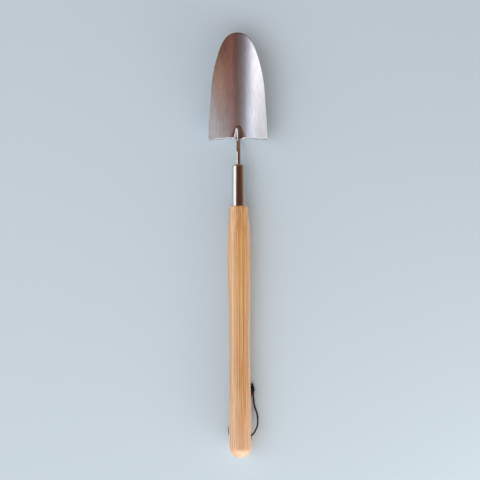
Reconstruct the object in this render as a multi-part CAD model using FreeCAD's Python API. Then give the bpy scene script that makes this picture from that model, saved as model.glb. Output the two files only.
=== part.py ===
import FreeCAD, Part
import math
import os

# A hand trowel: a pressed trough blade, a cranked round shank, a tapered ferrule, a turned
# wooden handle, and a thin lace looped through the handle's hanging hole.
#
# Millimetres. The trowel lies on its back on a flat surface at z = 0, hollow side up. +Y runs
# from the butt of the handle to the tip of the blade, and the origin is under the middle.
# It rests on the heel of the blade and on the belly of the handle.

V = FreeCAD.Vector
ACROSS = V(1, 0, 0)
ALONG = V(0, 1, 0)
UP = V(0, 0, 1)

# ---- driving dimensions ------------------------------------------------------------------
blade_length = 137.0
neck_length = 34.6
ferrule_length = 54.0
handle_length = 330.6
overall_length = blade_length + neck_length + ferrule_length + handle_length

# Blade: stainless sheet bent to a trough with a rounded-V section, tip raised.
sheet = 1.5
blade_pitch = 10.0
trough_radius = 32.0
trough_half_angle = 22.0
flank_radius = 86.0
flank_angle = 24.0
lip_radius = 3.0
lip_skirt = 1.0
blade_half_width = 39.8
tip_radius = 21.0
tip_half_angle = 62.0

# Raised conical tunnel at the rear of the blade, over the end of the shank.
tunnel_length = 14.5
tunnel_mouth_radius = 5.0
tunnel_end_radius = 0.8
tunnel_axis_drop = 0.4

# Shank: one round rod, cranked between the ferrule and the blade, with a ground taper in front.
shank_radius = 3.15
crank_start = 17.7
crank_end = 32.0
crank_upper_radius = 10.0
crank_lower_radius = 8.0
taper_start = 2.0
taper_length = 11.0
taper_end_radius = 0.9
tang_depth = 45.0

# Weld in the tunnel, measured from the hollow face of the trough, and braze at the ferrule's nose.
weld_top = 0.6
weld_depth = 2.2
weld_length = 10.5
braze_leg = 1.2

# Ferrule: tapered tube with a closed, rounded nose.
ferrule_nose_radius = 8.75
ferrule_base_radius = 9.35
ferrule_edge_radius = 2.2
ferrule_wall = 1.0
tenon_end_gap = 0.5

# Handle: turned, with a belly in front, a waist, and a swell before the domed butt.
shoulder_radius = 12.1
shoulder_round = 0.8
belly_distance = 68.0
belly_radius = 15.3
waist_distance = 172.0
waist_radius = 13.4
swell_distance = 290.0
swell_radius = 15.1
dome_radius = 14.95
dome_length = 15.0
handle_tilt = 0.5
belly_axis_height = 15.31

# Hanging hole, through the handle from side to side, a little higher on the right.
hole_from_butt = 29.6
hole_turn = 6.0
hole_radius = 3.25
hole_flare = 3.4
hole_flare_start = 12.6

# Pin under the ferrule, through the tenon and the tang.
pin_radius = 1.0
pin_head_radius = 1.7
pin_head_height = 0.5
pin_distance = 18.0
pin_top = 6.0

# Lace: one round leather cord through the hanging hole, its two ends tied together.
lace_diameter = 2.1
knot_radius = 3.8
knot_rear_radius = 2.7
knot_front_radius = 2.0
knot_length = 12.0
knot_full_share = 0.5
tail_length = 4.5
tail_sink = 3.0
tail_root_side = 1.1
tail_tip_side = 1.6
tail_drift = 0.8
tail_tip_lift = 0.6
bend_share = 0.45

# Clearance between parts that touch, and spare material that a cut takes off.
fit_gap = 0.05
cut_margin = 5.0
block_height = 60.0

# ---- places worked out from the dimensions -------------------------------------------------
butt_y = -overall_length / 2
shoulder_y = butt_y + handle_length
nose_y = shoulder_y + ferrule_length
blade_y = nose_y + neck_length
hole_distance = handle_length - hole_from_butt
hole_y = shoulder_y - hole_distance

tilt_slope = math.tan(math.radians(handle_tilt))
pitch_slope = math.tan(math.radians(blade_pitch))
shoulder_axis_z = belly_axis_height - belly_distance * tilt_slope
lip_inner_radius = lip_radius - sheet
lip_depth = lip_radius + lip_skirt
blade_cos = math.cos(math.radians(blade_pitch))
blade_z = (lip_depth - tunnel_mouth_radius ** 2 / (2 * (trough_radius + lip_depth))) * blade_cos
blade_plan_length = (blade_length - sheet * math.sin(math.radians(blade_pitch))) / blade_cos

handle_turn = FreeCAD.Rotation(ACROSS, -handle_tilt)
handle_placement = FreeCAD.Placement(V(0, shoulder_y, shoulder_axis_z), handle_turn)
blade_turn = FreeCAD.Rotation(ACROSS, blade_pitch)
blade_placement = FreeCAD.Placement(V(0, blade_y, blade_z), blade_turn)


def handle_axis_z(y):
    """Height of the handle's axis above the surface at a place along the trowel."""
    return shoulder_axis_z + (shoulder_y - y) * tilt_slope


def shank_in_blade_z(y):
    """Height of the shank's axis where it runs along the blade."""
    return blade_z - tunnel_axis_drop * blade_cos + (y - blade_y) * pitch_slope


def ferrule_radius(distance):
    """Outer radius of the ferrule at a distance in front of the handle's shoulder."""
    taper = (ferrule_base_radius - ferrule_nose_radius) / (ferrule_length - ferrule_edge_radius)
    return ferrule_base_radius - taper * distance


# ---- shared shapes ---------------------------------------------------------------------------
def turned(outline):
    """Solid of revolution about the Y axis from (y, radius) edges that close on the axis."""
    return Part.Face(Part.Wire(outline)).revolve(V(0, 0, 0), ALONG, 360)


def wall_point(y, radius):
    """Point of a turned outline."""
    return V(0, y, radius)


def chain(points):
    """Straight edges through the points, in order."""
    return [Part.LineSegment(a, b).toShape() for a, b in zip(points, points[1:])]


def corner(before, at, after):
    """Unit directions in and out of a corner, and the angle the path turns there."""
    way_in = (at - before).normalize()
    way_out = (after - at).normalize()
    return way_in, way_out, way_in.getAngle(way_out)


def rounded_path(points, radii):
    """Straight runs through the points, joined at each inner point by a tangent arc."""
    edges = []
    start = points[0]
    for before, at, after, radius in zip(points, points[1:], points[2:], radii):
        way_in, way_out, turn = corner(before, at, after)
        reach = radius * math.tan(turn / 2)
        arc_start = at - way_in * reach
        arc_end = at + way_out * reach
        inward = (way_out - way_in).normalize()
        middle = at + inward * (radius / math.cos(turn / 2) - radius)
        edges.append(Part.LineSegment(start, arc_start).toShape())
        edges.append(Part.Arc(arc_start, middle, arc_end).toShape())
        start = arc_end
    edges.append(Part.LineSegment(start, points[-1]).toShape())
    return Part.Wire(edges)


def tube(path, first_direction, radius):
    """Round rod along a path."""
    start = path.OrderedVertexes[0].Point
    ring = Part.Wire(Part.makeCircle(radius, start, first_direction))
    return path.makePipeShell([ring], True, False)


# ---- blade -------------------------------------------------------------------------------------
def sheet_strip():
    """Lengthwise section of the sheet at the middle of the trough, with its rolled rear lip."""
    length = blade_plan_length + cut_margin
    curl = V(0, lip_radius, -lip_radius)
    half_turn = math.sqrt(0.5)
    top_mid = curl + V(0, -half_turn, half_turn) * lip_radius
    low_mid = curl + V(0, -half_turn, half_turn) * lip_inner_radius
    top_start = V(0, length, 0)
    top_end = V(0, lip_radius, 0)
    lip_top = V(0, 0, -lip_radius)
    skirt_top = V(0, 0, -lip_depth)
    skirt_low = V(0, sheet, -lip_depth)
    lip_low = V(0, sheet, -lip_radius)
    low_start = V(0, lip_radius, -sheet)
    low_end = V(0, length, -sheet)
    edges = chain([top_start, top_end])
    edges.append(Part.Arc(top_end, top_mid, lip_top).toShape())
    edges += chain([lip_top, skirt_top, skirt_low, lip_low])
    edges.append(Part.Arc(lip_low, low_mid, low_start).toShape())
    edges += chain([low_start, low_end, top_start])
    return Part.Face(Part.Wire(edges))


def trough():
    """Central arc and two flatter flanks, each the strip turned about its own centre."""
    centre = V(0, 0, trough_radius)
    strip = sheet_strip()
    strip.rotate(centre, ALONG, trough_half_angle)
    middle = strip.revolve(centre, ALONG, -2 * trough_half_angle)
    half_angle = math.radians(trough_half_angle)
    offset = flank_radius - trough_radius
    centre_x = offset * math.sin(half_angle)
    centre_z = trough_radius + offset * math.cos(half_angle)
    pieces = []
    for side in (1, -1):
        edge_strip = sheet_strip()
        edge_strip.rotate(centre, ALONG, -side * trough_half_angle)
        flank_centre = V(-side * centre_x, 0, centre_z)
        pieces.append(edge_strip.revolve(flank_centre, ALONG, -side * flank_angle))
    return middle.multiFuse(pieces).removeSplitter()


def outline_points():
    """Half outline from the tip back to the rear corner: half width, distance behind the tip."""
    tip_angle = math.radians(tip_half_angle)
    return [
        (0, 0),
        (tip_radius * math.sin(tip_angle / 2), tip_radius * (1 - math.cos(tip_angle / 2))),
        (tip_radius * math.sin(tip_angle), tip_radius * (1 - math.cos(tip_angle))),
        (28.4, 35.7),
        (34.1, 61.5),
        (36.7, 93.5),
        (38.8, 119.0),
        (blade_half_width, blade_plan_length),
    ]


def outline_prism():
    """Upright block with the blade's plan outline: round tip, swelling sides, square rear."""
    right = [V(x, blade_plan_length - behind, 0) for x, behind in outline_points()]
    left = [V(-point.x, point.y, 0) for point in right[1:]]
    curve = Part.BSplineCurve()
    curve.interpolate(left[::-1] + right)
    rear = [right[-1], right[-1] - ALONG, left[-1] - ALONG, left[-1]]
    face = Part.Face(Part.Wire([curve.toShape()] + chain(rear)))
    face.translate(-UP * (lip_depth + 2 * cut_margin))
    return face.extrude(UP * block_height)


def cone_with_nose(start, length, radius_start, radius_end):
    """Cone along Y with a ball end."""
    cone = Part.makeCone(radius_start, radius_end, length, start, ALONG)
    ball = Part.makeSphere(radius_end, start + ALONG * length)
    return cone.fuse(ball)


def tunnel_void(clearance=0.0):
    """Space under the raised tunnel, run on past the rear edge and open through the lip."""
    slope = (tunnel_mouth_radius - tunnel_end_radius) / tunnel_length
    run_on = 2.0
    start = V(0, -run_on, -tunnel_axis_drop)
    mouth = tunnel_mouth_radius + slope * run_on - clearance
    cone = cone_with_nose(start, tunnel_length + run_on, mouth, tunnel_end_radius - clearance)
    slot_corner = V(-tunnel_mouth_radius, -run_on, -lip_depth - run_on)
    slot_depth = lip_depth + run_on - tunnel_axis_drop
    slot = Part.makeBox(2 * tunnel_mouth_radius, run_on + lip_radius, slot_depth, slot_corner)
    return cone.fuse(slot)


def blade_shape():
    """Trough with its tunnel, cut to the outline and set at its pitch."""
    outer = cone_with_nose(V(0, 0, -tunnel_axis_drop), tunnel_length,
                           tunnel_mouth_radius + sheet, tunnel_end_radius + sheet)
    over_sheet = Part.makeCylinder(trough_radius + sheet, tunnel_length + 2 * cut_margin,
                                   V(0, -cut_margin, trough_radius), ALONG)
    body = trough().fuse(outer.common(over_sheet)).cut(tunnel_void())
    body = body.common(outline_prism()).removeSplitter()
    body.Placement = blade_placement
    return body


# ---- shank -------------------------------------------------------------------------------------
def shank_shape():
    """Rod along the handle's axis, down through the crank, and on under the blade."""
    tang_end = V(0, shoulder_y - tang_depth, handle_axis_z(shoulder_y - tang_depth))
    upper = V(0, nose_y + crank_start, handle_axis_z(nose_y + crank_start))
    lower = V(0, nose_y + crank_end, shank_in_blade_z(nose_y + crank_end))
    front_end = blade_placement.multVec(V(0, taper_start + taper_length, -tunnel_axis_drop))
    path = rounded_path([tang_end, upper, lower, front_end], [crank_upper_radius, crank_lower_radius])
    rod = tube(path, upper - tang_end, shank_radius)
    return rod.cut(taper_cutter()).cut(pin_hole())


def taper_cutter():
    """Ring outside the ground taper at the front end of the shank."""
    slope = (shank_radius - taper_end_radius) / taper_length
    run_on = 2.0
    rear_y = taper_start - run_on
    front_y = taper_start + taper_length + run_on
    clear_radius = 2 * shank_radius
    rear_point = wall_point(rear_y, shank_radius + slope * run_on)
    front_point = wall_point(front_y, taper_end_radius - slope * run_on)
    outside = [wall_point(front_y, clear_radius), wall_point(rear_y, clear_radius)]
    ring = turned(chain([rear_point, front_point] + outside + [rear_point]))
    ring.translate(-UP * tunnel_axis_drop)
    ring.Placement = blade_placement.multiply(ring.Placement)
    return ring


def weld_shape(shank):
    """Weld metal between the tapered end of the shank and the walls of the tunnel."""
    half_width = tunnel_mouth_radius + cut_margin
    slab_corner = V(-half_width, lip_radius + fit_gap, -weld_depth)
    slab = Part.makeBox(2 * half_width, weld_length, weld_top + weld_depth, slab_corner)
    pool = tunnel_void(fit_gap).common(slab)
    pool.Placement = blade_placement
    return pool.cut(shank)


# ---- ferrule and its pin -------------------------------------------------------------------------
def ferrule_shape():
    """Tapered tube with a rounded, closed nose, bored for the shank and drilled for the pin."""
    nose = ferrule_length
    bend = ferrule_edge_radius
    diagonal = bend * math.sqrt(0.5)
    bore = shank_radius + fit_gap
    outer_end = wall_point(nose - bend, ferrule_nose_radius)
    bend_middle = wall_point(nose - bend + diagonal, ferrule_nose_radius - bend + diagonal)
    nose_edge = wall_point(nose, ferrule_nose_radius - bend)
    outline = chain([
        nose_edge,
        wall_point(nose, bore),
        wall_point(nose - ferrule_wall, bore),
        wall_point(nose - ferrule_wall, ferrule_nose_radius - bend),
        wall_point(nose - bend, ferrule_nose_radius - ferrule_wall),
        wall_point(0, ferrule_base_radius - ferrule_wall),
        wall_point(0, ferrule_base_radius),
        outer_end,
    ])
    nose_bend = Part.Arc(outer_end, bend_middle, nose_edge).toShape()
    shell = turned(outline + [nose_bend])
    shell.Placement = handle_placement
    return shell.cut(pin_hole())


def nose_braze_shape(shank):
    """Small fillet of braze where the shank leaves the ferrule."""
    foot = ferrule_length
    outline = chain([
        wall_point(foot, 0),
        wall_point(foot, shank_radius + braze_leg),
        wall_point(foot + braze_leg, shank_radius),
        wall_point(foot + braze_leg, 0),
        wall_point(foot, 0),
    ])
    ring = turned(outline)
    ring.Placement = handle_placement
    return ring.cut(shank)


def ferrule_pin_shape():
    """Round pin standing on the underside of the ferrule, head down."""
    wall = ferrule_radius(pin_distance)
    foot = V(0, pin_distance, -wall - pin_head_height)
    body = Part.makeCylinder(pin_radius, wall + pin_head_height + pin_top, foot, UP)
    head = Part.makeCone(0.75 * pin_head_radius, pin_head_radius, pin_head_height, foot, UP)
    rod = body.fuse(head)
    rod.Placement = handle_placement
    return rod


def pin_hole():
    """Hole for the pin, through the underside of the ferrule, the tenon and the tang."""
    foot_depth = ferrule_radius(pin_distance) + pin_head_height
    foot = V(0, pin_distance, -foot_depth)
    hole = Part.makeCylinder(pin_radius + fit_gap, foot_depth + pin_top, foot, UP)
    hole.Placement = handle_placement
    return hole


# ---- handle ----------------------------------------------------------------------------------------
def handle_outline():
    """Tenon, shoulder, the turned curve from shoulder to dome, and the domed butt."""
    tenon_length = ferrule_length - ferrule_edge_radius - tenon_end_gap
    tenon_base = ferrule_base_radius - ferrule_wall - fit_gap
    tenon_end = ferrule_nose_radius - ferrule_wall - fit_gap
    dome_start = -handle_length + dome_length
    curve_start = wall_point(-shoulder_round, shoulder_radius)
    curve_end = wall_point(dome_start, dome_radius)
    curve = Part.BSplineCurve()
    curve.interpolate([
        curve_start,
        wall_point(-20, 13.65),
        wall_point(-38, 14.6),
        wall_point(-belly_distance, belly_radius),
        wall_point(-120, 14.35),
        wall_point(-waist_distance, waist_radius),
        wall_point(-231, 13.95),
        wall_point(-swell_distance, swell_radius),
        curve_end,
    ])
    dome_centre = wall_point(dome_start, 0)
    dome_curve = Part.Ellipse(wall_point(-handle_length, 0), curve_end, dome_centre)
    dome = dome_curve.toShape(0, math.pi / 2)
    edge = chain([
        wall_point(-handle_length, 0),
        wall_point(tenon_length, 0),
        wall_point(tenon_length, tenon_end),
        wall_point(0, tenon_base),
        wall_point(0, shoulder_radius - shoulder_round),
        curve_start,
    ])
    return edge + [curve.toShape(), dome]


def hanging_hole():
    """Cross bore with flared mouths on both sides, turned about the handle's axis."""
    reach = 20.0
    hole = Part.makeCylinder(hole_radius, 2 * reach, V(-reach, -hole_distance, 0), ACROSS)
    for side in (1, -1):
        root = V(side * hole_flare_start, -hole_distance, 0)
        flare = Part.makeCone(hole_radius, hole_radius + hole_flare, hole_flare, root, ACROSS * side)
        hole = hole.fuse(flare)
    hole.rotate(V(0, -hole_distance, 0), ALONG, -hole_turn)
    return hole


def handle_shape():
    """Turned wood, bored for the tang and crossed by the hanging hole."""
    wood = turned(handle_outline())
    bore_depth = tang_depth + tenon_end_gap
    tang_bore = Part.makeCylinder(shank_radius + fit_gap, ferrule_length + bore_depth,
                                  V(0, -bore_depth, 0), ALONG)
    wood = wood.cut(tang_bore).cut(hanging_hole())
    wood.Placement = handle_placement
    return wood.cut(pin_hole())


# ---- lace ------------------------------------------------------------------------------------------
def limp_radius(before, at, after):
    """Arc radius at a point of a lace: as large as its two runs allow."""
    turn = corner(before, at, after)[2]
    shorter = min((at - before).Length, (after - at).Length)
    return bend_share * shorter / math.tan(turn / 2)


def lace_strand(name, points):
    """Round lace that bends along the points. The printed ratio is 1 where it is clear of itself."""
    radii = [limp_radius(*three) for three in zip(points, points[1:], points[2:])]
    path = rounded_path(points, radii)
    strand = tube(path, points[1] - points[0], lace_diameter / 2)
    section = math.pi * lace_diameter ** 2 / 4
    print(name, "length %.1f" % path.Length, "radii", ["%.1f" % r for r in radii],
          "volume / (section x length) %.4f" % (strand.Volume / (section * path.Length)))
    return strand


hole_z = handle_axis_z(hole_y)
floor_z = lace_diameter / 2 + fit_gap
knot_x = 16.1
knot_strand_side = 1.3
knot_rear_y = hole_y + 50.0
knot_front_y = knot_rear_y + knot_length
knot_z = knot_radius + fit_gap

right_route = [
    V(0, hole_y, hole_z),
    V(8.5, hole_y, hole_z + 0.9),
    V(15.9, hole_y - 0.6, hole_z + 0.6),
    V(21.1, hole_y + 7.6, hole_z - 3.8),
    V(23.2, hole_y + 12.6, hole_z - 10.0),
    V(22.8, hole_y + 24.9, floor_z + 1.0),
    V(19.7, hole_y + 32.4, floor_z),
    V(17.6, hole_y + 42.0, floor_z + 0.6),
    V(knot_x + knot_strand_side, knot_rear_y, knot_z),
]

left_route = [
    V(0, hole_y, hole_z),
    V(-8.5, hole_y, hole_z - 0.9),
    V(-14.7, hole_y + 0.1, hole_z - 3.3),
    V(-15.2, hole_y + 3.4, hole_z - 9.8),
    V(-14.8, hole_y + 9.6, hole_z - 13.4),
    V(-11.4, hole_y + 18.0, floor_z),
    V(-1.0, hole_y + 31.6, floor_z),
    V(6.4, hole_y + 39.0, floor_z),
    V(12.0, hole_y + 44.6, floor_z + 0.8),
    V(knot_x - knot_strand_side, knot_rear_y, knot_z),
]


def knot_shape():
    """Closed outer shape of the overhand knot, fullest in the middle, with the two tails in front."""
    rear_rim = wall_point(0, knot_rear_radius)
    front_rim = wall_point(knot_length, knot_front_radius)
    belly = Part.BSplineCurve()
    fullest = wall_point(knot_full_share * knot_length, knot_radius)
    belly.interpolate(Points=[rear_rim, fullest, front_rim], Tangents=[V(0, 0, 0), ALONG, V(0, 0, 0)],
                      TangentFlags=[False, True, False])
    core = chain([front_rim, wall_point(knot_length, 0), wall_point(0, 0), rear_rim])
    body = turned([belly.toShape()] + core)
    body.translate(V(knot_x, knot_rear_y, knot_z))
    tails = []
    for side in (1, -1):
        root = V(knot_x + side * tail_root_side, knot_front_y - tail_sink, knot_z)
        tip_x = knot_x + side * tail_tip_side - tail_drift
        tip = V(tip_x, knot_front_y + tail_length, floor_z + tail_tip_lift)
        tails.append(Part.makeCylinder(lace_diameter / 2, (tip - root).Length, root, tip - root))
    return body.multiFuse(tails).removeSplitter()


# ---- build -----------------------------------------------------------------------------------------
os.makedirs("parts", exist_ok=True)

blade = blade_shape()
shank = shank_shape()
nodes = {
    "blade": blade,
    "shank": shank,
    "blade_weld": weld_shape(shank),
    "nose_braze": nose_braze_shape(shank),
    "ferrule": ferrule_shape(),
    "ferrule_pin": ferrule_pin_shape(),
    "handle": handle_shape(),
    "lace_right": lace_strand("lace_right", right_route),
    "lace_left": lace_strand("lace_left", left_route),
    "lace_knot": knot_shape(),
}

for node, shape in nodes.items():
    box = shape.optimalBoundingBox()
    print("%-12s solids %d valid %s volume %9.1f  x %.2f..%.2f  y %.2f..%.2f  z %.2f..%.2f" % (
        node, len(shape.Solids), shape.isValid(), shape.Volume,
        box.XMin, box.XMax, box.YMin, box.YMax, box.ZMin, box.ZMax))
    shape.exportStep("parts/%s.step" % node)
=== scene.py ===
import math

import bpy
from mathutils import Matrix, Vector


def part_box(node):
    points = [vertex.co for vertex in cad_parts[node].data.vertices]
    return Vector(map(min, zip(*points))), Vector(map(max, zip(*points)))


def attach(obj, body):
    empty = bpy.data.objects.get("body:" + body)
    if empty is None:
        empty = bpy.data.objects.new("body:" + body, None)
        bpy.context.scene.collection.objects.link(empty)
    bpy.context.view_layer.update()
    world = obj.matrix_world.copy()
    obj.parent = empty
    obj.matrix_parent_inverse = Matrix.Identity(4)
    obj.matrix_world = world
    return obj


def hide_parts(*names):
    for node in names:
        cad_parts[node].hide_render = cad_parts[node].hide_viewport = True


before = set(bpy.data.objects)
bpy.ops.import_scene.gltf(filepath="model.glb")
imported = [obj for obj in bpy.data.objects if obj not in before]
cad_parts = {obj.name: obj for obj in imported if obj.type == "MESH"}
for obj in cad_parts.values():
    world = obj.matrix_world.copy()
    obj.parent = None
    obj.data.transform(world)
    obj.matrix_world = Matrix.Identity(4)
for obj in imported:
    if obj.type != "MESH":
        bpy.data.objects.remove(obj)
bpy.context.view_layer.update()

# A hand trowel lying on its back, seen from straight above. Metres, in the frame of the CAD model:
# +Y runs from the butt of the handle to the tip of the blade, and the floor is at z = 0.

MM = 0.001


# ---- camera -------------------------------------------------------------------------------------
CAMERA_HEIGHT = 1.315
VIEW_WIDTH = 0.631
AXIS_HEIGHT = 0.0153
SENSOR = 36.0
CAMERA_ROLL = math.radians(-0.42)
CAMERA_X = 0.00133
CAMERA_Y = 0.00773


def make_camera():
    """Camera straight above the trowel, a little off its middle and turned by under half a degree."""
    data = bpy.data.cameras.new("camera")
    data.sensor_width = SENSOR
    data.lens = SENSOR * (CAMERA_HEIGHT - AXIS_HEIGHT) / VIEW_WIDTH
    data.clip_start = 0.05
    data.clip_end = 20.0
    camera = bpy.data.objects.new("camera", data)
    camera.location = (CAMERA_X, CAMERA_Y, CAMERA_HEIGHT)
    camera.rotation_euler = (0.0, 0.0, CAMERA_ROLL)
    bpy.context.collection.objects.link(camera)
    bpy.context.scene.camera = camera


# ---- light and floor ----------------------------------------------------------------------------
# The room around the trowel, as what a mirror would show. Each band of it lies at one lean of the
# view from straight up: the direction's Y over its Z, below zero towards the handle. A band's colours
# run over the direction's X, from the left (-1) to the right (1). The colours are fitted, so that the
# metal looks as in the photograph from the main camera; they don't describe a known room.
# The band nearly straight up, which the handle, the ferrule and the shank mirror:
ROOM_OVER_HANDLE = [
    (-0.96, (0.95, 0.82, 0.68)),
    (-0.88, (1.90, 2.10, 2.60)),
    (-0.80, (1.90, 2.10, 2.60)),
    (-0.74, (0.36, 0.28, 0.24)),
    (-0.60, (0.13, 0.07, 0.05)),
    (0.00, (0.11, 0.048, 0.022)),
    (0.45, (0.13, 0.055, 0.026)),
    (0.80, (0.10, 0.046, 0.024)),
    (0.97, (0.30, 0.180, 0.130)),
]
ROOM_BANDS = [
    (-0.32, [
        (-0.90, (0.92, 0.94, 1.02)),
        (-0.80, (1.12, 1.22, 1.40)),
        (-0.72, (0.88, 0.96, 1.12)),
        (-0.58, (0.50, 0.52, 0.60)),
        (-0.38, (0.33, 0.31, 0.34)),
        (-0.12, (0.20, 0.16, 0.15)),
        (0.30, (0.36, 0.31, 0.33)),
        (0.60, (0.56, 0.54, 0.58)),
        (0.82, (0.62, 0.61, 0.64)),
    ]),
    (-0.25, [
        (-0.90, (1.30, 1.28, 1.30)),
        (-0.81, (1.20, 1.27, 1.42)),
        (-0.72, (0.80, 0.85, 0.98)),
        (-0.55, (0.52, 0.52, 0.60)),
        (-0.32, (0.40, 0.35, 0.36)),
        (-0.05, (0.27, 0.20, 0.20)),
        (0.18, (0.27, 0.185, 0.185)),
        (0.45, (0.35, 0.24, 0.23)),
        (0.75, (0.31, 0.21, 0.205)),
        (0.88, (0.27, 0.185, 0.17)),
    ]),
    (-0.20, [
        (-0.90, (1.60, 1.60, 1.64)),
        (-0.81, (1.38, 1.42, 1.54)),
        (-0.72, (0.70, 0.70, 0.80)),
        (-0.58, (0.42, 0.41, 0.46)),
        (-0.32, (0.30, 0.25, 0.27)),
        (0.00, (0.26, 0.170, 0.155)),
        (0.20, (0.26, 0.150, 0.135)),
        (0.48, (0.41, 0.190, 0.160)),
        (0.70, (0.38, 0.195, 0.165)),
        (0.85, (0.98, 0.560, 0.350)),
    ]),
    (-0.165, [
        (-0.90, (1.60, 1.60, 1.66)),
        (-0.81, (1.36, 1.38, 1.52)),
        (-0.72, (0.62, 0.62, 0.74)),
        (-0.58, (0.38, 0.37, 0.42)),
        (-0.38, (0.25, 0.21, 0.22)),
        (0.00, (0.175, 0.110, 0.095)),
        (0.30, (0.18, 0.085, 0.068)),
        (0.50, (0.33, 0.130, 0.095)),
        (0.68, (0.31, 0.105, 0.072)),
        (0.84, (0.05, 0.012, 0.008)),
    ]),
    (0.02, ROOM_OVER_HANDLE),
    (0.10, ROOM_OVER_HANDLE),
    (0.22, [
        (-0.62, (1.60, 1.62, 1.70)),
        (-0.50, (0.40, 0.36, 0.36)),
        (-0.35, (0.13, 0.070, 0.050)),
        (0.45, (0.13, 0.055, 0.032)),
        (0.95, (0.36, 0.220, 0.160)),
    ]),
]
# Further from straight up the colours run over the direction's Y, from the handle's end (-1) to the
# tip's (1). They set in where Y is past the first of these shares, and are alone past the second.
ALONG_SETS_IN = 0.38
ALONG_ALONE = 0.50
ROOM_ALONG = [
    (-0.52, (1.75, 1.76, 1.80)),
    (-0.46, (0.45, 0.16, 0.10)),
    (-0.36, (0.35, 0.15, 0.10)),
    (0.00, (0.14, 0.09, 0.08)),
    (0.60, (0.20, 0.115, 0.065)),
    (0.94, (0.20, 0.120, 0.070)),
    (0.985, (1.00, 0.550, 0.230)),
]


# The lean is taken over at least this much Z, since it has no bound at the horizon.
LEAST_Z = 0.01


def room_ramp(tree, component, stops):
    """Colours over one component of the direction, given with places from -1 to 1."""
    placed = [((where + 1) / 2, colour) for where, colour in stops]
    return ramp(tree, spread(tree, component, 0.0, 1.0, -1.0, 1.0), placed)


def area_light(name, place, aim, size, radiance, colour):
    """Soft rectangular light that the camera doesn't see. radiance is what a mirror would show."""
    width, height = size
    data = bpy.data.lights.new(name, "AREA")
    data.shape = "RECTANGLE"
    data.size = width
    data.size_y = height
    data.color = colour
    data.energy = radiance * width * height * math.pi
    lamp = bpy.data.objects.new(name, data)
    lamp.location = place
    lamp.rotation_mode = "QUATERNION"
    lamp.rotation_quaternion = (Vector(aim) - Vector(place)).to_track_quat("-Z", "Y")
    lamp.visible_camera = False
    bpy.context.collection.objects.link(lamp)
    return lamp


def make_room():
    """Surroundings that the metal reflects: a window wall on the left, a bright wall past the handle
    and a darker, warmer room above and on the right."""
    world = bpy.data.worlds.new("room")
    world.use_nodes = True
    tree = world.node_tree
    direction = add(tree, "ShaderNodeTexCoord").outputs["Generated"]
    split = add(tree, "ShaderNodeSeparateXYZ", {"Vector": direction})
    sideways, lengthways = split.outputs["X"], split.outputs["Y"]
    upwards = math_node(tree, "MAXIMUM", split.outputs["Z"], LEAST_Z)
    lean = math_node(tree, "DIVIDE", lengthways, upwards)
    colour = room_ramp(tree, sideways, ROOM_BANDS[0][1])
    for (start, _), (end, stops) in zip(ROOM_BANDS, ROOM_BANDS[1:]):
        share = spread(tree, lean, 0.0, 1.0, start, end)
        colour = mix(tree, share, colour, room_ramp(tree, sideways, stops))
    off_middle = math_node(tree, "ABSOLUTE", lengthways)
    share = spread(tree, off_middle, 0.0, 1.0, ALONG_SETS_IN, ALONG_ALONE)
    colour = mix(tree, share, colour, room_ramp(tree, lengthways, ROOM_ALONG))
    tree.links.new(colour, tree.nodes["Background"].inputs["Color"])
    bpy.context.scene.world = world


def make_lights():
    """Wide soft lights from the upper left and, low down, from the right and past the butt.
    Metal doesn't mirror them."""
    wide = (1.6, 1.6)
    low = (0.9, 0.4)
    soft = [
        area_light("softbox_top", (-0.9, -0.5, 1.7), (0.0, 0.0, 0.0), wide, 1.35, (0.95, 0.98, 1.0)),
        area_light("softbox_right", (0.75, -0.75, 0.24), (0.0, -0.1, 0.0), low, 4.2, (1.0, 0.97, 0.93)),
        area_light("softbox_butt", (-0.1, -1.3, 0.30), (0.0, -0.28, 0.0), low, 1.8, (1.0, 0.98, 0.95)),
    ]
    for lamp in soft:
        lamp.visible_glossy = False
    bpy.context.scene.view_settings.view_transform = "Standard"


def make_floor():
    """Plain pale floor, far wider than the view."""
    half = 6.0
    mesh = bpy.data.meshes.new("floor")
    corners = [(-half, -half, 0), (half, -half, 0), (half, half, 0), (-half, half, 0)]
    mesh.from_pydata(corners, [], [(0, 1, 2, 3)])
    floor = bpy.data.objects.new("floor", mesh)
    bpy.context.collection.objects.link(floor)
    material = bpy.data.materials.new("floor")
    material.use_nodes = True
    shader = material.node_tree.nodes["Principled BSDF"]
    shader.inputs["Base Color"].default_value = (0.60, 0.72, 0.79, 1.0)
    shader.inputs["Roughness"].default_value = 0.4
    mesh.materials.append(material)


# ---- node helpers -------------------------------------------------------------------------------
def new_material(name, **values):
    """Material with one Principled shader. Keyword values go straight on the shader's sockets."""
    material = bpy.data.materials.new(name)
    material.use_nodes = True
    shader = material.node_tree.nodes["Principled BSDF"]
    for socket, value in values.items():
        shader.inputs[socket.replace("_", " ")].default_value = value
    return material, material.node_tree, shader


def add(tree, kind, inputs=None, **settings):
    """New node with its settings and its inputs: an input is a value or another node's output."""
    node = tree.nodes.new(kind)
    for key, value in settings.items():
        setattr(node, key, value)
    for key, value in (inputs or {}).items():
        if isinstance(value, bpy.types.NodeSocket):
            tree.links.new(value, node.inputs[key])
        else:
            node.inputs[key].default_value = value
    return node


def place(tree, scale, offset=(0.0, 0.0, 0.0)):
    """The piece's own coordinates, stretched."""
    here = add(tree, "ShaderNodeTexCoord")
    mapped = add(tree, "ShaderNodeMapping",
                 {"Vector": here.outputs["Object"], "Scale": scale, "Location": offset})
    return mapped.outputs["Vector"]


def noise(tree, scale, detail=3.0, roughness=0.55, offset=(0.0, 0.0, 0.0)):
    """Noise with a different size along each axis, from 0 to 1."""
    here = place(tree, scale, offset)
    texture = add(tree, "ShaderNodeTexNoise",
                  {"Vector": here, "Scale": 1.0, "Detail": detail, "Roughness": roughness})
    return texture.outputs["Fac"]


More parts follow.
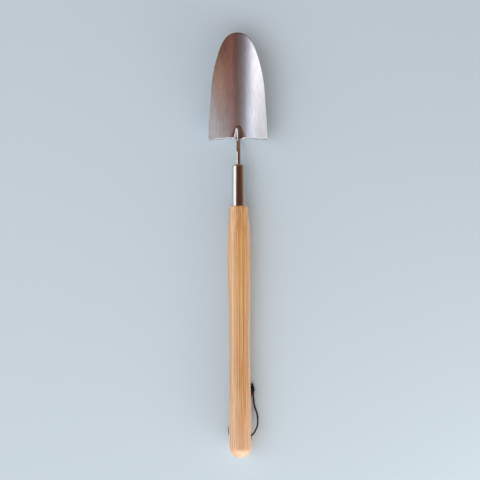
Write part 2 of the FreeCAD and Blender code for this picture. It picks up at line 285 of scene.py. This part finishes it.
def ramp(tree, factor, stops):
    """Colour ramp from (position, colour) stops."""
    node = add(tree, "ShaderNodeValToRGB", {"Fac": factor})
    elements = node.color_ramp.elements
    while len(elements) < len(stops):
        elements.new(0.5)
    for element, (position, colour) in zip(elements, stops):
        element.position = position
        element.color = (*colour, 1.0)
    return node.outputs["Color"]


def spread(tree, factor, low, high, from_low=0.0, from_high=1.0):
    """A value stretched to run from low to high, and held at the ends."""
    ends = {"From Min": from_low, "From Max": from_high, "To Min": low, "To Max": high}
    node = add(tree, "ShaderNodeMapRange", {"Value": factor, **ends})
    return node.outputs["Result"]


def math_node(tree, operation, a, b=0.0):
    """One step of arithmetic on two values."""
    return add(tree, "ShaderNodeMath", {0: a, 1: b}, operation=operation).outputs["Value"]


def mix(tree, factor, a, b, blend="MIX"):
    """Mix of two colours."""
    node = tree.nodes.new("ShaderNodeMix")
    node.data_type = "RGBA"
    node.blend_type = blend
    for index, value in ((0, factor), (6, a), (7, b)):
        if isinstance(value, bpy.types.NodeSocket):
            tree.links.new(value, node.inputs[index])
        else:
            node.inputs[index].default_value = value if index == 0 else (*value, 1.0)
    return node.outputs[2]


def bump(tree, shader, height, distance, strength=1.0):
    """Fine relief of the surface, distance deep."""
    node = add(tree, "ShaderNodeBump", {"Height": height, "Distance": distance, "Strength": strength})
    tree.links.new(node.outputs["Normal"], shader.inputs["Normal"])


# ---- materials ----------------------------------------------------------------------------------
def brushed_blade():
    """Stainless sheet, brushed along its length, with faint streaks and handling marks."""
    material, tree, shader = new_material("blade_steel", Metallic=1.0)
    lines = noise(tree, (4200.0, 40.0, 4200.0), 2.0)
    streaks = noise(tree, (620.0, 9.0, 620.0), 3.0, 0.6, (0.0, 3.0, 0.0))
    clouds = noise(tree, (60.0, 22.0, 60.0), 3.0, offset=(3.0, 1.0, 0.0))
    tint = ramp(tree, clouds, [(0.3, (0.60, 0.58, 0.58)), (0.7, (0.68, 0.665, 0.665))])
    tint = mix(tree, 0.30, tint, streaks, "OVERLAY")
    tree.links.new(mix(tree, 0.12, tint, lines, "OVERLAY"), shader.inputs["Base Color"])
    rough = math_node(tree, "ADD", spread(tree, clouds, 0.09, 0.13), spread(tree, streaks, -0.02, 0.04))
    tree.links.new(rough, shader.inputs["Roughness"])
    relief = math_node(tree, "ADD", spread(tree, lines, 0.0, 0.25), streaks)
    bump(tree, shader, relief, 0.00005, 1.0)
    return material


def drawn_rod():
    """Bright drawn rod with lengthwise marks."""
    material, tree, shader = new_material("shank_steel", Metallic=1.0)
    lines = noise(tree, (2600.0, 90.0, 2600.0), 2.0)
    tree.links.new(ramp(tree, lines, [(0.3, (0.55, 0.52, 0.49)), (0.7, (0.66, 0.63, 0.60))]),
                   shader.inputs["Base Color"])
    tree.links.new(spread(tree, lines, 0.12, 0.26), shader.inputs["Roughness"])
    bump(tree, shader, lines, 0.00004, 0.4)
    return material


def polished_ferrule():
    """Polished tube: nearly a mirror, with slight waves from drawing and fine wiping marks."""
    material, tree, shader = new_material("ferrule_polish", Metallic=1.0)
    waves = noise(tree, (70.0, 45.0, 70.0), 1.0, offset=(0.0, 2.0, 0.0))
    marks = noise(tree, (1500.0, 220.0, 1500.0), 3.0)
    tree.links.new(ramp(tree, marks, [(0.3, (0.57, 0.54, 0.51)), (0.7, (0.65, 0.63, 0.60))]),
                   shader.inputs["Base Color"])
    tree.links.new(spread(tree, marks, 0.07, 0.15), shader.inputs["Roughness"])
    bump(tree, shader, waves, 0.0006, 0.35)
    return material


def weld_metal():
    """Cleaned weld: rough, lumpy and tinted by heat."""
    material, tree, shader = new_material("weld_steel", Metallic=1.0)
    lumps = noise(tree, (700.0, 900.0, 700.0), 3.0)
    tree.links.new(ramp(tree, lumps, [(0.35, (0.26, 0.20, 0.15)), (0.65, (0.52, 0.47, 0.42))]),
                   shader.inputs["Base Color"])
    tree.links.new(spread(tree, lumps, 0.30, 0.50), shader.inputs["Roughness"])
    bump(tree, shader, lumps, 0.0004, 0.7)
    return material


def braze_metal():
    """Yellow braze, smoother than the weld."""
    material, tree, shader = new_material("braze", Metallic=1.0)
    lumps = noise(tree, (900.0, 900.0, 900.0), 3.0)
    tree.links.new(ramp(tree, lumps, [(0.35, (0.52, 0.38, 0.22)), (0.65, (0.70, 0.55, 0.36))]),
                   shader.inputs["Base Color"])
    tree.links.new(spread(tree, lumps, 0.22, 0.38), shader.inputs["Roughness"])
    bump(tree, shader, lumps, 0.0002, 0.6)
    return material


# Middle of the hanging hole, its lean, and how far from its axis painted shade darkens the wood.
HOLE_Y = -248.5 * MM
HOLE_Z = 17.343 * MM
HOLE_TURN = math.radians(6.0)
HOLE_MOUTH = 5.9 * MM
HOLE_FADE = 0.5 * MM
# The middle of the tree, about which the year rings run.
PITH = (-0.17, 0.0, 0.025)
RING_SPACING = 2.5 * MM


def growth_rings(tree):
    """Distance from the tree's middle, counted in rings, with slow waves along the length."""
    here = add(tree, "ShaderNodeTexCoord").outputs["Object"]
    flat = add(tree, "ShaderNodeVectorMath",
               {0: here, 1: (1.0, 0.0, 1.0)}, operation="MULTIPLY").outputs["Vector"]
    away = add(tree, "ShaderNodeVectorMath", {0: flat, 1: PITH}, operation="SUBTRACT").outputs["Vector"]
    distance = add(tree, "ShaderNodeVectorMath", {0: away}, operation="LENGTH").outputs["Value"]
    rings = math_node(tree, "DIVIDE", distance, RING_SPACING)
    waves = noise(tree, (14.0, 2.4, 14.0), 2.0)
    widths = noise(tree, (260.0, 1.2, 260.0), 1.0, offset=(4.0, 0.0, 0.0))
    rings = math_node(tree, "ADD", rings, spread(tree, waves, 0.0, 1.6))
    return math_node(tree, "ADD", rings, spread(tree, widths, 0.0, 1.1))


def painted_hole_shade(tree):
    """Where shade is painted in the hanging hole: 1 inside it and its flared mouths, falling to 0 just
    outside them.
    """
    here = add(tree, "ShaderNodeTexCoord").outputs["Object"]
    centre = (0.0, HOLE_Y, HOLE_Z)
    axis = (math.cos(HOLE_TURN), 0.0, math.sin(HOLE_TURN))
    away = add(tree, "ShaderNodeVectorMath", {0: here, 1: centre}, operation="SUBTRACT").outputs["Vector"]
    across = add(tree, "ShaderNodeVectorMath",
                 {0: away, 1: axis}, operation="CROSS_PRODUCT").outputs["Vector"]
    distance = add(tree, "ShaderNodeVectorMath", {0: across}, operation="LENGTH").outputs["Value"]
    return spread(tree, distance, 1.0, 0.0, HOLE_MOUTH - HOLE_FADE, HOLE_MOUTH)


def ash_wood():
    """Straight-grained ash: rings of early and late wood, fine streaks, open pores in short dashes,
    a clear oil finish, painted shade over the rear of the handle, a painted sheen that pales the butt
    end, and painted shade in the hole."""
    material, tree, shader = new_material("ash_wood", Coat_Weight=1.0, Coat_Roughness=0.10, Coat_IOR=1.7)
    rings = growth_rings(tree)
    part = math_node(tree, "FRACT", rings)
    number = math_node(tree, "FLOOR", rings)
    each = add(tree, "ShaderNodeTexWhiteNoise", {"W": number}, noise_dimensions="1D").outputs["Value"]
    colour = ramp(tree, part, [
        (0.00, (0.51, 0.225, 0.067)),
        (0.12, (0.41, 0.173, 0.044)),
        (0.26, (0.68, 0.355, 0.120)),
        (0.55, (0.82, 0.470, 0.190)),
        (0.88, (0.86, 0.520, 0.222)),
        (1.00, (0.60, 0.287, 0.090)),
    ])
    light_ring = mix(tree, 0.50, colour, (0.90, 0.575, 0.27))
    dark_ring = mix(tree, 0.40, colour, (0.58, 0.287, 0.090))
    colour = mix(tree, each, dark_ring, light_ring)
    along = add(tree, "ShaderNodeSeparateXYZ", {"Vector": place(tree, (1.0, 1.0, 1.0))}).outputs["Y"]
    # Painted shade: the wood is multiplied darker from near the ferrule end back over the rear of the
    # handle.
    painted_rear_shade = spread(tree, along, 0.0, 1.0, 0.02, -0.10)
    colour = mix(tree, painted_rear_shade, colour, (0.92, 0.92, 0.97), "MULTIPLY")
    # Painted sheen: the colour is mixed towards a pale tone over the last stretch before the butt.
    painted_butt_sheen = spread(tree, along, 0.0, 0.40, -0.17, -0.27)
    colour = mix(tree, painted_butt_sheen, colour, (0.90, 0.65, 0.42))
    streaks = noise(tree, (620.0, 5.0, 620.0), 2.0, 0.6, (7.0, 0.0, 0.0))
    streak_tone = ramp(tree, streaks, [(0.36, (0.28, 0.25, 0.24)), (0.64, (0.66, 0.67, 0.68))])
    colour = mix(tree, 0.65, colour, streak_tone, "OVERLAY")
    fibres = noise(tree, (1900.0, 10.0, 1900.0), 3.0, 0.6)
    fibre_tone = ramp(tree, fibres, [(0.32, (0.30, 0.30, 0.30)), (0.68, (0.70, 0.70, 0.70))])
    colour = mix(tree, 0.40, colour, fibre_tone, "OVERLAY")
    pores = noise(tree, (2400.0, 85.0, 2400.0), 1.0, 0.5, (0.0, 5.0, 0.0))
    early = ramp(tree, part, [(0.0, (1.0, 1.0, 1.0)), (0.30, (1.0, 1.0, 1.0)), (0.45, (0.0, 0.0, 0.0))])
    dashes = math_node(tree, "MULTIPLY", spread(tree, pores, 0.0, 1.0, 0.56, 0.64), early)
    colour = mix(tree, math_node(tree, "MULTIPLY", dashes, 0.45), colour, (0.24, 0.12, 0.05))
    # Painted shade: the wood is multiplied darker inside the hanging hole and its mouths.
    colour = mix(tree, painted_hole_shade(tree), colour, (0.40, 0.33, 0.28), "MULTIPLY")
    tree.links.new(colour, shader.inputs["Base Color"])
    tree.links.new(spread(tree, fibres, 0.30, 0.46), shader.inputs["Roughness"])
    depth = math_node(tree, "SUBTRACT", spread(tree, fibres, 0.0, 0.25), dashes)
    bump(tree, shader, depth, 0.00010, 0.5)
    return material


def lace_leather(name, dark, light):
    """Round leather lace, slightly waxy, with creases across it."""
    material, tree, shader = new_material(name, Specular_IOR_Level=0.25)
    grain = noise(tree, (1400.0, 1400.0, 1400.0), 4.0)
    worn = noise(tree, (160.0, 160.0, 160.0), 2.0)
    tree.links.new(ramp(tree, worn, [(0.40, dark), (0.75, light)]), shader.inputs["Base Color"])
    tree.links.new(spread(tree, grain, 0.50, 0.70), shader.inputs["Roughness"])
    bump(tree, shader, grain, 0.00015, 0.6)
    return material


# ---- blade --------------------------------------------------------------------------------------
SHEET = 1.5 * MM
TROUGH_RADIUS = 32.0 * MM
TROUGH_HALF_ANGLE = math.radians(22.0)
FLANK_RADIUS = 86.0 * MM
BLADE_PITCH = math.radians(10.0)
BLADE_LENGTH = 137.0 * MM
BLADE_HALF_WIDTH = 39.8 * MM
TIP_RADIUS = 21.0 * MM
TIP_ANGLE = math.radians(62.0)
LIP_RADIUS = 3.0 * MM
LIP_SKIRT = 1.0 * MM
TUNNEL_HALF_WIDTH = 5.0 * MM
SHEET_LENGTH = (BLADE_LENGTH - SHEET * math.sin(BLADE_PITCH)) / math.cos(BLADE_PITCH)
LIP_DEPTH = LIP_RADIUS + LIP_SKIRT
LIP_RAMP = 0.55 * LIP_RADIUS
# Over the tunnel the lip shrinks to this share. It is least out to LIP_GAP from the middle, and whole
# again LIP_GAP_BLEND further out.
LIP_LEFT = 0.15
LIP_GAP = 4.0 * MM
LIP_GAP_BLEND = 5.0 * MM
# In the middle the lip reaches back by this share of what it does at the corners.
LIP_REACH_MIDDLE = 0.75
BLADE_Z = (LIP_DEPTH - TUNNEL_HALF_WIDTH ** 2 / (2 * (TROUGH_RADIUS + LIP_DEPTH))) * math.cos(BLADE_PITCH)
BLADE_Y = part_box("blade")[1].y - BLADE_LENGTH
BLADE_PLACE = Matrix.Translation((0.0, BLADE_Y, BLADE_Z)) @ Matrix.Rotation(BLADE_PITCH, 4, "X")
EDGE_ROUND = 0.3 * MM
# The tunnel over the end of the shank: its height at the rear edge and how fast that falls, its whole
# length and how much of that closes it, its half width at the rear edge and how fast that shrinks.
TUNNEL_PEAK = 6.1 * MM
TUNNEL_FALL = 0.275
TUNNEL_LENGTH = 18.0 * MM
TUNNEL_CLOSE = 4.5 * MM
TUNNEL_REACH = 8.3 * MM
TUNNEL_NARROWING = 0.30
# The rim is squarer than a half circle, whose power would be 1.
RIM_POWER = 0.5
# Distance round the outline from the middle of the tip to where the sides of the grid begin.
SHOULDER = 30.0 * MM
# Above 1, the rows of the grid lie closer together near the lip.
ROW_CROWDING = 1.15


def trough(x):
    """Height and slope of the hollow side at a distance from the middle line."""
    across = abs(x)
    if across <= TROUGH_RADIUS * math.sin(TROUGH_HALF_ANGLE):
        slope = math.asin(across / TROUGH_RADIUS)
        height = TROUGH_RADIUS * (1 - math.cos(slope))
    else:
        offset = FLANK_RADIUS - TROUGH_RADIUS
        slope = math.asin((across + offset * math.sin(TROUGH_HALF_ANGLE)) / FLANK_RADIUS)
        height = TROUGH_RADIUS + offset * math.cos(TROUGH_HALF_ANGLE) - FLANK_RADIUS * math.cos(slope)
    return height, math.copysign(slope, x)


def smooth(value):
    """Smooth step from 0 to 1."""
    value = min(max(value, 0.0), 1.0)
    return value * value * (3 - 2 * value)


def tunnel(x, y):
    """Height of the raised tunnel over the end of the shank, above the plain trough."""
    peak = max(TUNNEL_PEAK - TUNNEL_FALL * y, 0.0) * smooth((TUNNEL_LENGTH - y) / TUNNEL_CLOSE)
    half_width = TUNNEL_REACH - TUNNEL_NARROWING * min(y, TUNNEL_LENGTH)
    height = 0.0
    for share, width in ((0.84, half_width), (0.16, 1.6 * half_width)):
        if abs(x) < width:
            height += share * peak * (0.5 + 0.5 * math.cos(math.pi * x / width))
    return height


def smooth_chain(points, steps):
    """Curve through the points, by chord-length cubic pieces, with steps places on each piece."""
    points = [Vector(p) for p in points]
    gaps = [(b - a).length for a, b in zip(points, points[1:])]
    tangents = [(points[1] - points[0]) / gaps[0]]
    for i in range(1, len(points) - 1):
        before = (points[i] - points[i - 1]) / gaps[i - 1]
        after = (points[i + 1] - points[i]) / gaps[i]
        tangents.append((before * gaps[i] + after * gaps[i - 1]) / (gaps[i] + gaps[i - 1]))
    tangents.append((points[-1] - points[-2]) / gaps[-1])
    curve = []
    for a, b, ta, tb, gap in zip(points, points[1:], tangents, tangents[1:], gaps):
        for k in range(steps):
            t = k / steps
            curve.append(a * (2 * t ** 3 - 3 * t ** 2 + 1) + ta * gap * (t ** 3 - 2 * t ** 2 + t)
                         + b * (3 * t ** 2 - 2 * t ** 3) + tb * gap * (t ** 3 - t ** 2))
    curve.append(points[-1])
    return curve


class Track:
    """A curve that can be read by length along it."""

    def __init__(self, points):
        self.points = points
        self.at = [0.0]
        for a, b in zip(points, points[1:]):
            self.at.append(self.at[-1] + (b - a).length)
        self.length = self.at[-1]

    def read(self, distance):
        """Point at a distance along the curve, held at its ends."""
        distance = min(max(distance, 0.0), self.length)
        low, high = 0, len(self.at) - 1
        while high - low > 1:
            middle = (low + high) // 2
            if self.at[middle] <= distance:
                low = middle
            else:
                high = middle
        share = (distance - self.at[low]) / (self.at[high] - self.at[low])
        return self.points[low].lerp(self.points[high], share)


def blade_outline():
    """Half outline of the sheet from the tip back along the right side, in the blade's own plane."""
    half = [(0.0, 0.0)]
    for part in (0.25, 0.5, 0.75, 1.0):
        turn = TIP_ANGLE * part
        half.append((TIP_RADIUS * math.sin(turn), TIP_RADIUS * (1 - math.cos(turn))))
    half += [
        (28.4 * MM, 35.7 * MM),
        (34.1 * MM, 61.5 * MM),
        (36.7 * MM, 93.5 * MM),
        (38.8 * MM, 119.0 * MM),
        (BLADE_HALF_WIDTH, SHEET_LENGTH),
    ]
    mirrored = [(-x, t) for x, t in half[3:0:-1]]
    steps = 16
    curve = smooth_chain([(x, SHEET_LENGTH - t) for x, t in mirrored + half], steps)
    return Track(curve[len(mirrored) * steps:])


def sheet_grid(columns, rows):
    """Plan places of the blade's grid: rows run across, from the lip's root to the tip."""
    outline = blade_outline()
    rear = outline.length - LIP_RADIUS
    corner = outline.read(SHOULDER)
    rear_corner = outline.read(rear)
    grid = []
    for j in range(rows + 1):
        v = (j / rows) ** ROW_CROWDING
        side = outline.read(rear + (SHOULDER - rear) * v)
        side_shift = side - Vector((rear_corner.x, LIP_RADIUS)).lerp(corner, v)
        row = []
        for i in range(columns + 1):
            u = 2 * i / columns - 1
            tip = outline.read(SHOULDER * abs(u))
            rear_place = Vector((rear_corner.x * u, LIP_RADIUS))
            tip_place = Vector((math.copysign(tip.x, u), tip.y))
            inner = rear_place.lerp(tip_place, v)
            x = inner.x + side_shift.x * u
            y = inner.y + side_shift.y
            lean = SHEET * math.sin(trough(side.x)[1])
            row.append((x * (1 - lean / side.x), y))
        grid.append(row)
    return grid


def on_sheet(x, y, drop):
    """Point of the hollow side: above a plan place, or dropped outwards past the rolled lip."""
    height, slope = trough(x)
    rise = tunnel(x, y) - drop
    return Vector((x - rise * math.sin(slope), y, height + rise * math.cos(slope)))


def blade_rows():
    """Rows of points of the hollow side, from the lip's free edge to the tip. The lip bends down in a
    ramp, reaches further back at the corners and ends in a short upright skirt."""
    columns, rows = 128, 110
    ramp_steps, skirt_steps = 10, 4
    plan = sheet_grid(columns, rows)
    root = plan[0]
    lip = [(1.0, k / skirt_steps) for k in range(skirt_steps, 0, -1)]
    lip += [(k / ramp_steps, 0.0) for k in range(ramp_steps, 0, -1)]
    result = []
    for out, down in lip:
        row = []
        for x, _ in root:
            keep = LIP_LEFT + (1 - LIP_LEFT) * smooth((abs(x) - LIP_GAP) / LIP_GAP_BLEND)
            to_corner = (x / BLADE_HALF_WIDTH) ** 2
            reach = LIP_RADIUS * (LIP_REACH_MIDDLE + (1 - LIP_REACH_MIDDLE) * to_corner)
            drop = keep * (LIP_RAMP * out ** 2 + (LIP_DEPTH - LIP_RAMP) * down)
            point = on_sheet(x, LIP_RADIUS - reach * out, drop)
            point.x -= drop * math.sin(trough(x)[1])
            row.append(point)
        result.append(row)
    for row in plan:
        result.append([on_sheet(x, y, 0.0) for x, y in row])
    return result


def grid_normals(rows):
    """Unit normal on the hollow side at each grid point."""
    normals = []
    last_row = len(rows) - 1
    last = len(rows[0]) - 1
    for j, row in enumerate(rows):
        line = []
        for i in range(len(row)):
            across = row[min(i + 1, last)] - row[max(i - 1, 0)]
            along = rows[min(j + 1, last_row)][i] - rows[max(j - 1, 0)][i]
            line.append(across.cross(along).normalized())
        normals.append(line)
    return normals


def rim_path(top):
    """Grid points of the hollow side round the sheet's edge, once round."""
    count_j, count_i = len(top), len(top[0])
    rim = [top[0][i] for i in range(count_i - 1)]
    rim += [top[j][count_i - 1] for j in range(count_j - 1)]
    rim += [top[count_j - 1][i] for i in range(count_i - 1, 0, -1)]
    rim += [top[j][0] for j in range(count_j - 1, 0, -1)]
    return rim


def add_rim(vertices, faces, rim, shift):
    """Rounded edge from the rim of the hollow side to the same rim on the back, shift points on."""
    rings = [rim]
    bands = 5
    for k in range(1, bands):
        angle = math.pi / 2 - math.pi * k / bands
        bulge = EDGE_ROUND * math.cos(angle) ** RIM_POWER
        level = math.copysign(abs(math.sin(angle)) ** RIM_POWER, math.sin(angle))
        ring = []
        for number, index in enumerate(rim):
            ahead = vertices[rim[(number + 1) % len(rim)]]
            behind = vertices[rim[number - 1]]
            upper = vertices[index]
            lower = vertices[index + shift]
            normal = (upper - lower).normalized()
            outward = (ahead - behind).cross(normal).normalized()
            ring.append(len(vertices))
            vertices.append((upper + lower) / 2 + normal * (SHEET / 2 * level) + outward * bulge)
        rings.append(ring)
    rings.append([index + shift for index in rim])
    for upper_ring, lower_ring in zip(rings, rings[1:]):
        for k in range(len(rim)):
            n = (k + 1) % len(rim)
            faces.append((upper_ring[k], lower_ring[k], lower_ring[n], upper_ring[n]))


def make_blade():
    """The sheet as a closed mesh: hollow side, back and rounded rim."""
    rows = blade_rows()
    normals = grid_normals(rows)
    count_j, count_i = len(rows), len(rows[0])
    top = [[j * count_i + i for i in range(count_i)] for j in range(count_j)]
    vertices = [p for row in rows for p in row]
    shift = len(vertices)
    vertices += [p - n * SHEET for row, line in zip(rows, normals) for p, n in zip(row, line)]
    faces = []
    for j in range(count_j - 1):
        for i in range(count_i - 1):
            quad = (top[j][i], top[j][i + 1], top[j + 1][i + 1], top[j + 1][i])
            faces.append(quad)
            faces.append(tuple(shift + k for k in reversed(quad)))
    add_rim(vertices, faces, rim_path(top), shift)
    return new_piece("blade_sheet", [BLADE_PLACE @ v for v in vertices], faces)


# ---- pieces -------------------------------------------------------------------------------------
def new_piece(name, vertices, faces):
    """Smooth mesh object from points and faces."""
    mesh = bpy.data.meshes.new(name)
    mesh.from_pydata([tuple(v) for v in vertices], [], faces)
    mesh.validate()
    mesh.polygons.foreach_set("use_smooth", [True] * len(mesh.polygons))
    mesh.update()
    piece = bpy.data.objects.new(name, mesh)
    bpy.context.collection.objects.link(piece)
    return piece


def repaint(node, material):
    """Gives a CAD node a material in all its slots."""
    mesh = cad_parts[node].data
    mesh.materials.clear()
    mesh.materials.append(material)


# ---- lace ---------------------------------------------------------------------------------------
LACE_DIAMETER = 2.1 * MM
LACE_FLOOR = LACE_DIAMETER / 2 + 0.05 * MM
KNOT_X = 16.1 * MM
KNOT_REAR = HOLE_Y + 50.0 * MM
KNOT_Z = 3.85 * MM
KNOT_LENGTH = 12.0 * MM
STRAND_SIDE = 1.3 * MM
# Outer radius of the knot at shares of its length.
KNOT_RADII = [(0.0, 3.0 * MM), (0.50, 3.8 * MM), (0.80, 3.0 * MM), (1.0, 2.0 * MM)]
# A coil's points in each turn, the share of it that dives into the knot at either end, the share of its
# radius left there, and how far its turns lean along the knot and from which angle.
COIL_POINTS = 12
COIL_DIVE = 0.10
COIL_CORE = 0.45
COIL_LEAN = 0.5 * MM
COIL_LEAN_FROM = 0.6

RIGHT_ROUTE = [
    (0.0, HOLE_Y, HOLE_Z),
    (8.5 * MM, HOLE_Y, HOLE_Z + 0.9 * MM),
    (15.9 * MM, HOLE_Y - 0.6 * MM, HOLE_Z + 0.6 * MM),
    (21.1 * MM, HOLE_Y + 7.6 * MM, HOLE_Z - 3.8 * MM),
    (23.2 * MM, HOLE_Y + 12.6 * MM, HOLE_Z - 10.0 * MM),
    (22.8 * MM, HOLE_Y + 24.9 * MM, LACE_FLOOR + 1.0 * MM),
    (19.7 * MM, HOLE_Y + 32.4 * MM, LACE_FLOOR),
    (17.6 * MM, HOLE_Y + 42.0 * MM, LACE_FLOOR + 0.6 * MM),
    (KNOT_X + STRAND_SIDE, KNOT_REAR, KNOT_Z),
]

LEFT_ROUTE = [
    (0.0, HOLE_Y, HOLE_Z),
    (-8.5 * MM, HOLE_Y, HOLE_Z - 0.9 * MM),
    (-14.7 * MM, HOLE_Y + 0.1 * MM, HOLE_Z - 3.3 * MM),
    (-15.2 * MM, HOLE_Y + 3.4 * MM, HOLE_Z - 9.8 * MM),
    (-14.8 * MM, HOLE_Y + 9.6 * MM, HOLE_Z - 13.4 * MM),
    (-11.4 * MM, HOLE_Y + 18.0 * MM, LACE_FLOOR),
    (-1.0 * MM, HOLE_Y + 31.6 * MM, LACE_FLOOR),
    (6.4 * MM, HOLE_Y + 39.0 * MM, LACE_FLOOR),
    (12.0 * MM, HOLE_Y + 44.6 * MM, LACE_FLOOR + 0.8 * MM),
    (KNOT_X - STRAND_SIDE, KNOT_REAR, KNOT_Z),
]


def lace_curve(name, points, material):
    """Round lace on one smooth spline with these control points."""
    data = bpy.data.curves.new(name, "CURVE")
    data.dimensions = "3D"
    data.resolution_u = 12
    data.bevel_depth = LACE_DIAMETER / 2
    data.bevel_resolution = 5
    data.use_fill_caps = True
    spline = data.splines.new("NURBS")
    spline.points.add(len(points) - 1)
    for point, control in zip(spline.points, points):
        point.co = (*control, 1.0)
    spline.order_u = 3
    spline.use_endpoint_u = True
    data.materials.append(material)
    lace = bpy.data.objects.new(name, data)
    bpy.context.collection.objects.link(lace)
    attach(lace, "root")
    return lace


def knot_radius(share):
    """Outer radius of the knot at a share of its length from the rear."""
    for (start, low), (end, high) in zip(KNOT_RADII, KNOT_RADII[1:]):
        if share <= end:
            return low + (high - low) * smooth((share - start) / (end - start))
    return KNOT_RADII[-1][1]


def knot_coil(name, start, end, turns, first_angle, material):
    """Turns of lace wound round the knot's core between two shares of its length."""
    count = round(COIL_POINTS * turns)
    points = []
    for k in range(count + 1):
        part = k / count
        share = start + (end - start) * part
        angle = first_angle + 2 * math.pi * turns * part
        dive = min(smooth(part / COIL_DIVE), smooth((1 - part) / COIL_DIVE))
        radius = (knot_radius(share) - LACE_DIAMETER / 2) * (COIL_CORE + (1 - COIL_CORE) * dive)
        lean = COIL_LEAN * math.sin(angle + COIL_LEAN_FROM)
        points.append((
            KNOT_X + radius * math.cos(angle),
            KNOT_REAR + KNOT_LENGTH * share + lean,
            KNOT_Z + radius * math.sin(angle),
        ))
    return lace_curve(name, points, material)


def tail_route(side, reach):
    """Way of one tail: from the strand's end through the knot, then reach past it, down to the floor."""
    front = KNOT_REAR + KNOT_LENGTH
    return [
        (KNOT_X + side * STRAND_SIDE, KNOT_REAR, KNOT_Z),
        (KNOT_X + side * 1.1 * MM, KNOT_REAR + 0.4 * KNOT_LENGTH, KNOT_Z),
        (KNOT_X + side * 1.0 * MM, front - 1.5 * MM, KNOT_Z - 0.2 * MM),
        (KNOT_X + side * 1.4 * MM - 0.6 * MM, front + reach * 0.4, KNOT_Z - 1.2 * MM),
        (KNOT_X + side * 1.6 * MM - 1.4 * MM, front + reach, LACE_FLOOR + 0.6 * MM),
    ]


def make_lace(material, highlight_material):
    """The two strands, the knot round their ends and the two tails in front of it."""
    right = lace_curve("lace_strand_right", RIGHT_ROUTE, material)
    left = lace_curve("lace_strand_left", LEFT_ROUTE, material)
    wrap = knot_coil("lace_knot_wrap", 0.36, 0.94, 3.4, 0.5, material)
    # The collar wrap carries a painted highlight: its lighter orange-brown leather stands for light on
    # that turn.
    collar = knot_coil("lace_knot_collar", 0.16, 0.28, 1.25, 3.6, highlight_material)
    tails = [
        lace_curve("lace_tail_right", tail_route(1, 3.6 * MM), material),
        lace_curve("lace_tail_left", tail_route(-1, 4.4 * MM), material),
    ]
    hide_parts("lace_right")
    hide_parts("lace_left")
    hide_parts("lace_knot")


# ---- build --------------------------------------------------------------------------------------
make_camera()
# The second material is a painted highlight: lighter orange-brown leather for the knot's collar wrap.
make_lace(lace_leather("lace_leather", (0.008, 0.004, 0.003), (0.035, 0.013, 0.008)),
          lace_leather("lace_leather_painted_highlight", (0.12, 0.030, 0.012), (0.34, 0.11, 0.05)))
make_room()
make_lights()
make_floor()

blade = make_blade()
blade.data.materials.append(brushed_blade())
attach(blade, "root")
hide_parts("blade")

rod = drawn_rod()
repaint("shank", rod)
repaint("ferrule_pin", rod)
repaint("ferrule", polished_ferrule())
repaint("blade_weld", weld_metal())
repaint("nose_braze", braze_metal())
repaint("handle", ash_wood())
